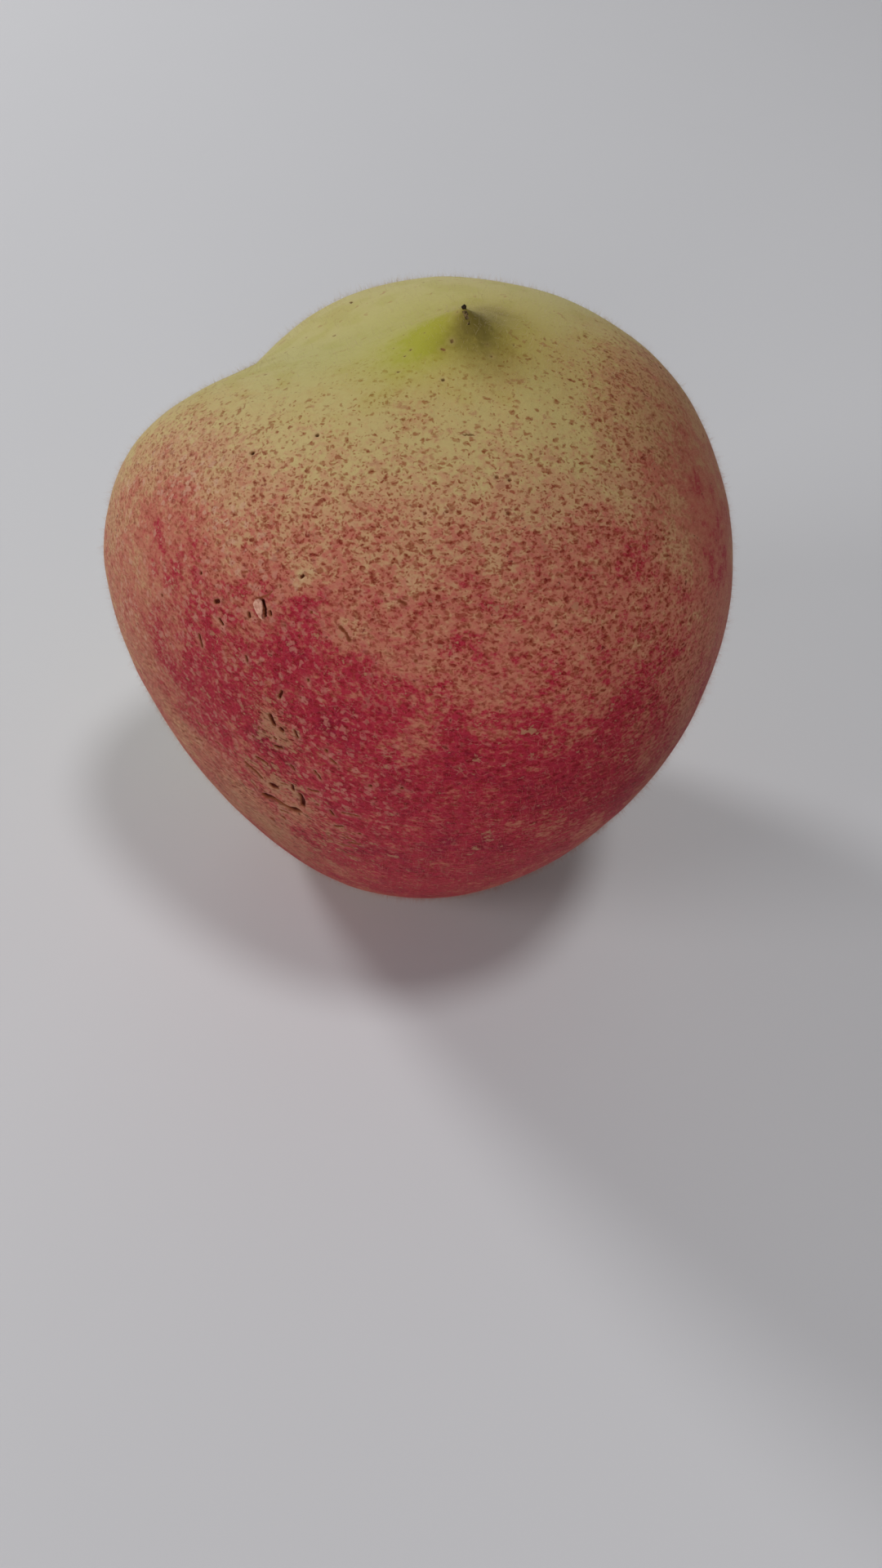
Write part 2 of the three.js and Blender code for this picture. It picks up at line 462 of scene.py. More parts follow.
# %% [markdown]
# ## The skin mesh
# The skin could start from a UV sphere, but its rings crowd at the beak and in the stalk
# cavity. An ico sphere has triangles of nearly one size everywhere, so it suits a fruit. It is
# cut finer only round the marks and the beak, while it is still a perfect ball, and then every
# point is moved out to the fruit's own surface.

# %% Ball, cut finer where there is detail
# distances on a ball of radius 1
NEAR_MARK = 0.045
CLOSE_TO_MARK = 0.022
MARK_SURROUNDINGS = 0.2
NO_LENGTH = 1e-12
BEAK_ZONE = math.radians(13)
BEAK_POINT = math.radians(5)

skin_bm = bmesh.new()
bmesh.ops.create_icosphere(skin_bm, subdivisions=7, radius=1.0)
mark_lines = [directions_at([p[0] for p in line], [p[1] for p in line]) for _, _, line in MARKS]


def distance_to_line(points, line):
    """The shortest way from each point to a line of points."""
    best = np.linalg.norm(points - line[0], axis=1)
    for start, end in zip(line[:-1], line[1:]):
        run = end - start
        along = np.clip((points - start) @ run / max(run @ run, NO_LENGTH), 0, 1)
        best = np.minimum(best, np.linalg.norm(points - start - along[:, None] * run, axis=1))
    return best


def cut_finer(reach, beak_reach):
    """Halve every edge whose middle is near a mark or the beak."""
    skin_bm.verts.index_update()
    edges = list(skin_bm.edges)
    middles = np.array([(e.verts[0].co + e.verts[1].co)[:] for e in edges]) / 2
    wanted = np.arccos(np.clip(middles[:, 2], -1, 1)) < beak_reach
    for line in mark_lines:
        near = np.linalg.norm(middles - line.mean(axis=0), axis=1) < MARK_SURROUNDINGS
        chosen = np.flatnonzero(near)
        wanted[chosen[distance_to_line(middles[chosen], line) < reach]] = True
    bmesh.ops.subdivide_edges(skin_bm, edges=[edges[i] for i in np.flatnonzero(wanted)], cuts=1)
    bmesh.ops.triangulate(skin_bm, faces=[f for f in skin_bm.faces if len(f.verts) > 3])
    for vert in skin_bm.verts:
        vert.co.normalize()


cut_finer(NEAR_MARK, BEAK_ZONE)
cut_finer(CLOSE_TO_MARK, BEAK_POINT)
skin_directions = np.array([v.co[:] for v in skin_bm.verts])
print("skin triangles:", len(skin_bm.faces), "points:", len(skin_directions))

# %% Move the points out to the skin, with its slow unevenness
# Length of the waves and their height, in mm. They fade out towards the floor, below this
# height in metres, so that the fruit still stands on its own ring.
UNEVEN = [(9.0, 0.16), (3.5, 0.045), (1.3, 0.012)]
EVEN_BELOW = 0.002

skin_out = outward_at(skin_directions)
skin_points = seated_points(skin_directions)
polar, azimuth = angles_of(skin_directions)
swell = np.zeros(len(skin_points))
for length, height in UNEVEN:
    places = skin_points / MILLIMETRE / length
    swell += height * np.array([noise.noise(Vector(p)) for p in places])
swell *= np.clip(skin_points[:, 2] / EVEN_BELOW, 0, 1)
skin_points += (swell * MILLIMETRE)[:, None] * skin_out
print("unevenness in mm:", swell.min().round(3), swell.max().round(3))

# %% Press the marks in
# Each mark sinks in its middle and lifts a thin lip round it, and leaves two shares on the
# points: hollow, for the dark brown inside with painted shade on it, darker the deeper the mark,
# and corky, for the dry skin about it. A mark low on the fruit is seen at a slant, so its
# painted shade reaches a little further out.
MARK_WIDENING = 0.98
MARK_DEEPENING = 1.5
MARK_REACH = 6
LIP_SHARE = 0.12
LIP_PLACE = 1.7
LIP_SPREAD = 0.55
LEAST_DARK = 0.40
FULL_DARK_DEPTH = 0.20
CORKY_MARGIN = 0.22
FULL_CORKY_DEPTH = 0.15
LOW_ON_THE_FRUIT = 75
LOW_PAINTED_SHADE_SPREAD = 1.12

hollow = np.zeros(len(skin_points))
corky = np.zeros(len(skin_points))
for width, depth, line in MARKS:
    width *= MARK_WIDENING
    depth *= MARK_DEEPENING
    path = seated_points(directions_at([p[0] for p in line], [p[1] for p in line])) / MILLIMETRE
    near = np.linalg.norm(skin_points / MILLIMETRE - path.mean(axis=0), axis=1) < MARK_REACH
    chosen = np.flatnonzero(near)
    distance = distance_to_line(skin_points[chosen] / MILLIMETRE, path)
    lip = LIP_SHARE * depth * bell(distance - LIP_PLACE * width, LIP_SPREAD * width)
    sink = depth * np.exp(-((distance / width) ** 3))
    skin_points[chosen] += ((lip - sink) * MILLIMETRE)[:, None] * skin_out[chosen]
    # Painted shade in the hollow: darker the deeper the mark, and wider low on the fruit.
    darkness = min(1.0, LEAST_DARK + (1 - LEAST_DARK) * depth / FULL_DARK_DEPTH)
    dark_edge = width * (LOW_PAINTED_SHADE_SPREAD if line[0][1] > LOW_ON_THE_FRUIT else 1.0)
    dark = darkness * np.exp(-((distance / dark_edge) ** 5))
    hollow[chosen] = np.maximum(hollow[chosen], dark)
    dryness = min(1.0, depth / FULL_CORKY_DEPTH)
    corky[chosen] = np.maximum(corky[chosen], dryness * bell(distance, width + CORKY_MARGIN))
print("points in hollows:", int((hollow > 0.5).sum()))

# %% [markdown]
# ## Where the colours lie
# A peach colours where the sun reaches it. The blush here is strongest on the front, fades up
# to a creamy crown and round to a yellow back, and ends near the seam. Painting it by hand
# would tie it to one mesh, so it is written as a few numbers by direction: how strong the blush
# is, and how far from the beak it begins. Soft patches then add to it or take from it, and more
# patches say where the other colours lie and where shade is painted on the flanks and by the
# beak. The results are stored on the points.

# %% Blush
# degrees round the fruit, strength of the blush, degrees from the beak where it is half there
BLUSH = [
    (0, 0.68, 26), (15, 0.58, 28), (30, 0.42, 32), (45, 0.26, 40), (60, 0.20, 50), (90, 0.20, 62),
    (120, 0.20, 64), (150, 0.19, 60), (165, 0.25, 54), (180, 0.52, 48), (195, 0.70, 42),
    (210, 0.84, 38), (225, 0.95, 36), (240, 1.00, 33), (255, 1.02, 30), (270, 1.03, 29.5),
    (285, 1.03, 29), (300, 0.97, 29), (315, 0.85, 31), (330, 0.78, 27), (345, 0.74, 25),
]
# degrees round, degrees from the beak, reach in mm, change
BLUSH_PATCHES = [
    (247, 49.6, 1.0, -0.30), (255, 17, 2.2, 0.16), (225, 50, 4.0, -0.08), (296, 53, 3.5, -0.12),
    (210, 47, 3.5, 0.06), (247, 80, 2.6, -0.18), (246, 94, 4.2, -0.14), (230, 106, 7.0, -0.14),
    (240, 118, 7.0, -0.10), (302, 44, 3.0, 0.05), (335, 66, 7.0, 0.10), (306, 10.5, 2.6, 0.16),
    (338, 19, 4.0, 0.10), (250, 9.5, 3.6, 0.14), (350, 16, 5.0, 0.08), (257.8, 56, 1.2, -0.22),
    (313, 33, 4.0, -0.09), (324, 14, 2.2, -0.05), (321, 52, 4.0, -0.08), (265, 41, 3.5, -0.08),
    (288, 49, 3.0, -0.07), (247, 92, 2.5, 0.14), (306, 82, 5.0, 0.14), (246.6, 32.4, 2.0, -0.08),
    (227.8, 35.6, 2.2, -0.06), (18, 34, 5.0, 0.10), (349, 45, 5.0, 0.13), (301, 43, 2.5, 0.05),
    (250, 57, 2.0, 0.06), (100, 76, 11.0, 0.16), (138, 104, 9.0, 0.12), (292, 58.5, 3.0, -0.10),
    (307, 70, 3.0, -0.07), (256, 56, 2.0, 0.10), (293, 22, 2.5, 0.08), (329, 17, 2.5, -0.05),
    (216, 44, 3.0, 0.04), (249.5, 6.2, 0.6, 0.30), (8, 37, 4.0, 0.04), (275, 66, 4.0, -0.07),
    (298, 80, 3.5, -0.06), (277, 44, 2.5, -0.05), (206, 16, 4.0, 0.07), (306, 42, 3.5, 0.05),
    (347, 23, 2.5, -0.05), (276, 58, 2.5, -0.13), (279, 28, 2.5, -0.08), (264, 48, 2.8, -0.12),
    (293, 51, 2.6, 0.13), (323, 43, 5.0, 0.15), (331, 52, 4.0, 0.06), (312, 78, 3.5, -0.06),
    (200, 64, 7.0, 0.09), (206, 83, 4.0, -0.07), (261, 26, 2.5, -0.05), (338, 28, 4.0, 0.12),
    (197, 47, 4.5, 0.15), (224, 53, 4.0, 0.12), (234, 74, 2.8, 0.12), (246, 81, 3.2, 0.16),
    (247, 60, 2.6, 0.10), (206, 58, 4.0, 0.06),
]
BLUSH_CURVE = 1.9
UNDERSIDE_BLUSH = 0.45
UNDERSIDE_FROM = 150
UNDERSIDE_BLEND = 7

blush_table = np.array(BLUSH, float)


def broad_blush(azimuth, polar):
    """The blush without its small patches, for arrays of angles."""
    degrees_round = np.degrees(azimuth) % 360
    degrees_down = np.degrees(polar)
    strength = np.interp(degrees_round, blush_table[:, 0], blush_table[:, 1], period=360)
    edge = np.interp(degrees_round, blush_table[:, 0], blush_table[:, 2], period=360)
    full = strength * (1 - 0.5 ** ((degrees_down / edge) ** BLUSH_CURVE))
    underneath = 1 / (1 + np.exp(-(degrees_down - UNDERSIDE_FROM) / UNDERSIDE_BLEND))
    return full * (1 - (1 - UNDERSIDE_BLUSH) * underneath)


fruit_places = fruit_points(skin_directions)


def patch(round_, down_, reach):
    """A soft share, 1 in the middle of a patch on the skin and nearly 0 at twice its reach."""
    middle = fruit_points(directions_at([round_], [down_]))[0]
    return bell(np.linalg.norm(fruit_places - middle, axis=1), reach)


def patched(patches, start=0.0):
    """The start, and every patch added to it in its own strength."""
    return sum((change * patch(*place) for *place, change in patches), start)


blush = patched(BLUSH_PATCHES, broad_blush(azimuth, polar))
print("mean blush:", blush.mean().round(2))

# %% The other colours
# the same four numbers for each patch
GREEN_PATCHES = [
    (205, 4.6, 2.6, 0.75), (224, 9, 3.6, 0.45), (180, 11, 8.0, 0.25), (115, 11, 5.0, 0.22),
]
SEAM_GREEN = 0.15
# Olive brown round the beak, made darker on its right and back slopes as painted shade.
OLIVE_AND_SHADE_PATCHES = [
    (296, 4.0, 1.8, 0.52), (303, 8.0, 2.8, 0.50), (305, 2.0, 1.5, 0.40), (18, 2.8, 2.0, 0.52),
    (250, 5.0, 1.4, 0.25), (64, 8.0, 2.4, 0.50), (35, 7.5, 2.0, 0.20),
]
TAWNY_PATCHES = [
    (0, 8, 11.0, 0.35), (10, 24, 13.0, 0.2), (45, 6, 4.0, 0.6), (300, 6, 4.0, 0.3),
    (350, 7, 4.0, 0.15), (318, 4, 2.0, 0.20), (58, 20, 6.0, 0.15),
]
RUSSET_PATCHES = [
    (247, 80, 2.4, 0.65), (247, 94, 3.2, 0.6), (236, 110, 6.0, 0.42),
    (258, 104, 4.0, 0.3), (215, 92, 7.0, 0.2), (240, 122, 8.0, 0.25),
]
# Painted shade: darker patches on the lower right flank, the right shoulder and the low left underside,
# where the light falls off.
PAINTED_SHADE_PATCHES = [
    (311, 84, 8.0, 0.75), (236, 120, 9.0, 0.45), (348, 40, 8.0, 0.25), (343, 58, 8.0, 0.20),
]
LEAST_POROUS = 0.27
POROUS_PATCHES = [(243, 85, 16.0, 0.73), (211, 60, 9.5, 0.75)]
PLAIN_PATCHES = [
    (352, 50, 7.5, 0.80), (337, 64, 5.0, 0.60), (330, 76, 4.5, 0.50),
    (331, 50, 5.0, 0.50), (211, 62, 8.5, 0.45), (208, 84, 8.0, 0.25),
]
PLAINEST = 0.85
CAVITY_COLOUR_REACH = 6.5

shares = {
    "blush": blush,
    "green": patched(GREEN_PATCHES) + SEAM_GREEN * suture_share(polar, azimuth),
    "olive_and_shade": patched(OLIVE_AND_SHADE_PATCHES),
    "tawny": patched(TAWNY_PATCHES),
    "russet": patched(RUSSET_PATCHES),
    "painted_shade": patched(PAINTED_SHADE_PATCHES),
    "porous": np.minimum(patched(POROUS_PATCHES, LEAST_POROUS), 1.0),
    "plain": np.minimum(patched(PLAIN_PATCHES), PLAINEST),
    "cavity": bell(BODY_RADIUS * (math.pi - polar), CAVITY_COLOUR_REACH),
    "hollow": hollow,
    "corky": corky,
}
for name, values in shares.items():
    print(name, "up to", values.max().round(2))

# %% Make the skin object
for vert, place in zip(skin_bm.verts, skin_points):
    vert.co = place
skin_bm.normal_update()
skin_mesh = bpy.data.meshes.new("peach_skin")
skin_bm.to_mesh(skin_mesh)
skin_bm.free()
skin_mesh.shade_smooth()
for name, values in shares.items():
    layer = skin_mesh.attributes.new(name, "FLOAT", "POINT")
    layer.data.foreach_set("value", values.astype(np.float32))
skin = bpy.data.objects.new("peach_skin", skin_mesh)
bpy.context.scene.collection.objects.link(skin)
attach(skin, "root")
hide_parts("peach")
skin_surface = BVHTree.FromPolygons(
    [v.co for v in skin_mesh.vertices], [p.vertices for p in skin_mesh.polygons]
)
print("skin from", (skin_points.min(axis=0) / MILLIMETRE).round(2), "mm")
print("to", (skin_points.max(axis=0) / MILLIMETRE).round(2), "mm")

# %% [markdown]
# ## The finish of the skin
# Seen close, peach colour is not smooth. Red pigment sits in small flecks that crowd together
# until they join, and in the red there are pale pores with a dark dot. An image could hold that
# only at one size, so noise and cell patterns do it: noise is added to the blush share and
# the sum is cut softly, which gives flecks at the edge and solid colour in the middle.

# %% Skin material
skin_paint, tree, shader = new_material(
    "peach skin",
    Roughness=0.62,
    Specular_IOR_Level=0.07,
    Sheen_Weight=0.02,
    Sheen_Roughness=0.45,
    Sheen_Tint=(1.0, 0.88, 0.80, 1.0),
)

WANDER = 0.9


def share_of(name):
    """One of the shares that were stored on the points."""
    return add(tree, "ShaderNodeAttribute", attribute_name=name).outputs["Fac"]


def noise_of(scale, detail=2.0, stretch=(1.0, 1.0, 1.0)):
    """Smooth noise from about -0.5 to 0.5, with this many waves to a millimetre."""
    place = in_millimetres(tree, stretch)
    sockets = {"Vector": place, "Scale": scale, "Detail": detail, "Roughness": 0.55}
    return maths(tree, "SUBTRACT", add(tree, "ShaderNodeTexNoise", sockets).outputs[0], 0.5)


def cells_of(scale, stretch=(1.0, 1.0, 1.0)):
    """Distance to the nearest cell point, and a chance number for each cell."""
    straight = in_millimetres(tree, stretch)
    sockets = {"Vector": straight, "Scale": 1.6, "Detail": 2.0}
    wander = add(tree, "ShaderNodeTexNoise", sockets).outputs[1]
    sockets = {0: wander, 1: (WANDER,) * 3, 2: straight}
    pushed = add(tree, "ShaderNodeVectorMath", sockets, operation="MULTIPLY_ADD")
    sockets = {"Vector": pushed.outputs[0], "Scale": scale, "Randomness": 1.0}
    made = add(tree, "ShaderNodeTexVoronoi", sockets)
    chance = add(tree, "ShaderNodeSeparateColor", {0: made.outputs["Color"]}).outputs[0]
    return made.outputs["Distance"], chance


def plus(level, wave, weight):
    """The level, with a wave added in this weight."""
    return maths(tree, "MULTIPLY_ADD", wave, weight, level)


print("skin shader:", shader.name)

# %% From yellow to crimson, in flecks
LYING = (1.0, 1.0, 1.4)
# share of blush, colour
BLUSH_COLOURS = [
    (0.00, (0.542, 0.484, 0.208)),
    (0.30, (0.540, 0.410, 0.180)),
    (0.58, (0.520, 0.290, 0.150)),
    (0.80, (0.480, 0.158, 0.102)),
    (1.00, (0.385, 0.024, 0.044)),
    (1.25, (0.250, 0.009, 0.030)),
]
RAMP_SPAN = 1.25

blush_share = share_of("blush")
slow = noise_of(0.16)
middling = noise_of(0.75, 4.0, LYING)
quick = noise_of(2.1, 3.0, LYING)
in_blush = rising(tree, blush_share, 0.02, 0.35)
level = plus(blush_share, slow, 0.40)
level = plus(level, times(tree, middling, in_blush), 0.50)
crimson = rising(tree, blush_share, 0.65, 0.95)
calm = maths(tree, "SUBTRACT", in_blush, times(tree, crimson, 0.25))
speckled = maths(tree, "SUBTRACT", 1.0, share_of("plain"))
calm = times(tree, calm, plus(0.4, speckled, 0.6))
level = plus(level, times(tree, quick, calm), 0.80)
clump = noise_of(0.32, 3.0)
level = plus(level, times(tree, clump, in_blush), 0.30)
level = maths(tree, "MAXIMUM", level, times(tree, blush_share, 0.70))

ramp = add(tree, "ShaderNodeValToRGB", {0: maths(tree, "DIVIDE", level, RAMP_SPAN)})
ramp.color_ramp.interpolation = "EASE"
stops = ramp.color_ramp.elements
for number, (place, tone) in enumerate(BLUSH_COLOURS):
    stop = stops[number] if number < 2 else stops.new(place / RAMP_SPAN)
    stop.position = place / RAMP_SPAN
    stop.color = (*tone, 1.0)
colour = ramp.outputs[0]
print("flecks:", len(tree.nodes), "nodes so far")

# %% Pale pores and fine pale lines in the red
# Many pores have a dark pinhole, and where the skin is russet there are wider dark pits.
PORE = (0.50, 0.195, 0.150)
PALE_PORE = (0.60, 0.37, 0.25)
PORE_SHAPE = (1.0, 1.0, 1.15)

distance, chance = cells_of(1.10, PORE_SHAPE)
wobble = plus(plus(distance, quick, 0.9), middling, 0.6)
pore = times(tree, rising(tree, wobble, 0.38, 0.20), rising(tree, chance, 0.20, 0.55))
red_enough = rising(tree, plus(blush_share, share_of("porous"), 0.50), 0.70, 1.05)
crowded = rising(tree, plus(clump, middling, 0.5), -0.08, 0.14)
pore = times(tree, pore, red_enough, share_of("porous"), plus(0.17, crowded, 0.55))
pore_tone = tinted(tree, rising(tree, blush_share, 0.60, 0.95), PALE_PORE, PORE)
colour = tinted(tree, pore, colour, pore_tone)
pinhole = times(tree, rising(tree, distance, 0.14, 0.08), rising(tree, chance, 0.58, 0.62))
pinhole = times(tree, pinhole, rising(tree, blush_share, 0.3, 0.7))
distance, chance = cells_of(1.4, LYING)
pit = rising(tree, plus(distance, quick, 0.6), 0.25, 0.13)
pit = times(tree, pit, rising(tree, chance, 0.40, 0.45))
pit = times(tree, pit, rising(tree, plus(share_of("russet"), middling, 0.8), 0.15, 0.50))
sockets = {"Vector": in_millimetres(tree, LYING), "Scale": 1.15}
net = add(tree, "ShaderNodeTexVoronoi", sockets, feature="DISTANCE_TO_EDGE")
line = rising(tree, plus(net.outputs["Distance"], quick, 0.12), 0.07, 0.01)
line = times(tree, line, rising(tree, middling, -0.02, 0.12))
line = times(tree, line, rising(tree, blush_share, 0.6, 1.0))
colour = tinted(tree, times(tree, line, 0.40), colour, PORE)
print("pores and lines:", len(tree.nodes), "nodes so far")

# %% Dark stipple
# Round specks and short dashes, more of them where the blush is stronger.
SPECK_TONE = (0.56, 0.23, 0.20)
STREAKED = (1.0, 1.0, 2.3)
# cells to a millimetre, stretch, distance where a speck ends, distance where it is full, weight
SPECKS = [
    (1.45, LYING, 0.34, 0.12, 0.80),
    (1.15, STREAKED, 0.32, 0.10, 0.75),
    (2.90, LYING, 0.40, 0.15, 0.75),
]

fading = maths(tree, "SUBTRACT", 1.0, times(tree, rising(tree, blush_share, 0.75, 1.0), 0.35))
fading = times(tree, fading, speckled)
for scale, stretch, ends, full, weight in SPECKS:
    distance, chance = cells_of(scale, stretch)
    speck = rising(tree, plus(plus(distance, quick, 0.45), blush_share, -0.10), ends, full)
    crowd = plus(maths(tree, "MULTIPLY_ADD", blush_share, 2.1, 0.14), clump, 1.4)
    kept = rising(tree, maths(tree, "SUBTRACT", crowd, chance), 0.0, 0.55)
    speck = times(tree, speck, kept, rising(tree, blush_share, 0.01, 0.08), fading)
    colour = shaded(tree, times(tree, speck, weight), colour, SPECK_TONE)
distance, chance = cells_of(1.7)
dot = times(tree, rising(tree, distance, 0.24, 0.14), rising(tree, chance, 0.45, 0.60))
dot = times(tree, dot, rising(tree, plus(blush_share, clump, 1.2), 0.30, 0.60))
colour = shaded(tree, times(tree, dot, fading, 0.8), colour, SPECK_TONE)
print("stipple:", len(tree.nodes), "nodes so far")

# %% Round pale pores, some with a brown dot, where the skin is most porous
distance, chance = cells_of(1.25)
spotted = rising(tree, share_of("porous"), 0.40, 0.85)
spotted = times(tree, spotted, rising(tree, blush_share, 0.30, 0.60))
spot = rising(tree, plus(distance, quick, 0.5), 0.40, 0.24)
spot = times(tree, spot, rising(tree, chance, 0.20, 0.50))
colour = tinted(tree, times(tree, spot, spotted, 0.60), colour, pore_tone)
heart = times(tree, rising(tree, distance, 0.12, 0.07), rising(tree, chance, 0.60, 0.65))
colour = shaded(tree, times(tree, heart, spotted), colour, SPECK_TONE)
print("round pores:", len(tree.nodes), "nodes so far")

# %% Corky brown, green and yellow places, olive with painted shade by the beak, and painted shade on the flanks
LEAF_YELLOW = (0.380, 0.376, 0.045)
# Olive brown that also carries painted shade on the beak's shaded side.
OLIVE_AND_SHADE = (0.19, 0.145, 0.030)
TAWNY_TONE = (0.95, 0.86, 0.52)
RUSSET = (0.43, 0.225, 0.12)
# The tone of the painted shade on the flanks.
PAINTED_SHADE_TONE = (0.72, 0.69, 0.66)
STREAK_TONE = (0.48, 0.31, 0.26)

patchy = rising(tree, plus(plus(share_of("russet"), middling, 2.2), quick, 1.6), 0.36, 0.58)
colour = tinted(tree, times(tree, patchy, 0.7), colour, RUSSET)
streak = rising(tree, noise_of(1.9, 4.0, (1.0, 1.0, 3.0)), 0.03, 0.12)
streak = times(tree, streak, rising(tree, share_of("russet"), 0.02, 0.30))
colour = shaded(tree, streak, colour, STREAK_TONE)
# Painted shade: the flanks darkened where the light falls off.
colour = shaded(tree, share_of("painted_shade"), colour, PAINTED_SHADE_TONE)
broken = plus(plus(1.0, middling, 0.9), quick, 0.6)
colour = tinted(tree, times(tree, share_of("green"), broken), colour, LEAF_YELLOW)
unripe = rising(tree, plus(clump, slow, 0.8), -0.02, 0.20)
unripe = times(tree, unripe, rising(tree, blush_share, 0.45, 0.10))
colour = tinted(tree, times(tree, unripe, 0.22), colour, LEAF_YELLOW)
colour = shaded(tree, share_of("tawny"), colour, TAWNY_TONE)
# Olive brown by the beak, with painted shade on its right and back slopes.
colour = tinted(tree, times(tree, share_of("olive_and_shade"), broken), colour, OLIVE_AND_SHADE)
colour = tinted(tree, times(tree, share_of("cavity"), 0.6), colour, LEAF_YELLOW)
print("other colours:", len(tree.nodes), "nodes so far")

# %% The marks, and a fine grain
DRY = (0.56, 0.36, 0.24)
PINHOLE = (0.120, 0.018, 0.010)
SCAB = (0.240, 0.060, 0.022)
SCAB_ON_YELLOW = (0.180, 0.105, 0.032)
# The inside of a mark: dark brown skin, with painted shade of the hollow on it.
DARK_INSIDE_AND_SHADE = (0.065, 0.006, 0.002)
DARK_INSIDE_AND_SHADE_ON_YELLOW = (0.060, 0.030, 0.009)

colour = tinted(tree, times(tree, share_of("corky"), 0.25), colour, DRY)
colour = tinted(tree, times(tree, maths(tree, "MAXIMUM", pinhole, pit), 0.75), colour, PINHOLE)
in_the_red = rising(tree, blush_share, 0.2, 0.7)
scab = tinted(tree, in_the_red, SCAB_ON_YELLOW, SCAB)
inside_and_shade = tinted(tree, in_the_red, DARK_INSIDE_AND_SHADE_ON_YELLOW, DARK_INSIDE_AND_SHADE)
scabbed = times(tree, rising(tree, share_of("hollow"), 0.08, 0.50), 0.9)
colour = tinted(tree, scabbed, colour, scab)
# Painted shade in the hollows, over their dark brown.
colour = tinted(tree, rising(tree, share_of("hollow"), 0.45, 0.90), colour, inside_and_shade)
tree.links.new(colour, shader.inputs["Base Color"])

grain = plus(noise_of(3.2, 3.0), middling, 0.8)
bump = add(tree, "ShaderNodeBump", {"Height": grain, "Strength": 0.35, "Distance": 0.00012})
tree.links.new(bump.outputs[0], shader.inputs["Normal"])
skin_mesh.materials.append(skin_paint)
print("skin material nodes:", len(tree.nodes))

# %% [markdown]
# ## The fuzz
# A peach is covered with short hairs, and they give it its soft edge and dusty bloom. Hair
# particles would be the usual way, but they are lost when the fruit is exported, so the hairs
# are real and very small. An ico sphere is cut into loose triangles, and about half of them are
# dropped by chance. Each one left is poked into a three-sided needle, drawn in to a thin root
# somewhere on its own triangle, and leant a little.

# %% Finish a piece
def finish_piece(bm, name, material, smooth=True):
    """Turn a bmesh into a piece of the fruit that rides with the skin."""
    bmesh.ops.recalc_face_normals(bm, faces=bm.faces)
    mesh = bpy.data.meshes.new(name)
    bm.to_mesh(mesh)
    bm.free()
    if smooth:
        mesh.shade_smooth()
    mesh.materials.append(material)
    piece = bpy.data.objects.new(name, mesh)
    bpy.context.scene.collection.objects.link(piece)
    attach(piece, "root")
    print(name, "faces:", len(mesh.polygons))


# %% Where the skin is hollow
HOLLOW_ENOUGH = 0.3

hollow_places = skin_points[hollow > HOLLOW_ENOUGH] / MILLIMETRE
hollow_tree = kdtree.KDTree(len(hollow_places))
for number, place in enumerate(hollow_places):
    hollow_tree.insert(place, number)
hollow_tree.balance()
print("hollow points:", len(hollow_places))

# %% Fuzz helper
# lengths in mm, except the band in metres over the floor that grows no hair
HAIR_HALF_WIDTH = 0.006
ROOT_UNDER = 0.04
HAIR_FREE_BAND = 0.0006
SHORTEST_HAIR = 0.12
LONGEST_HAIR = 1.0
STUBBLE = 0.02
DROPPED_SHARE = 0.5
EVENNESS = 6.0
DROOP = 0.25
BARE_BY_A_HOLLOW = 0.35
SHORTER_BY_A_HOLLOW = 1.4
LEAST_BY_A_HOLLOW = 0.3
SHORTER_BY_THE_FLOOR = 1.5
LEAST_BY_THE_FLOOR = 0.05
SPIN_AXIS = (0.3, 0.5, 0.81)
SIDEWAYS = (0.3, 0.2, 0.93)
BROWN_SIDE = ([226], [104])
BROWN_REACH = 14.0
RED_LOST_THERE = 0.5


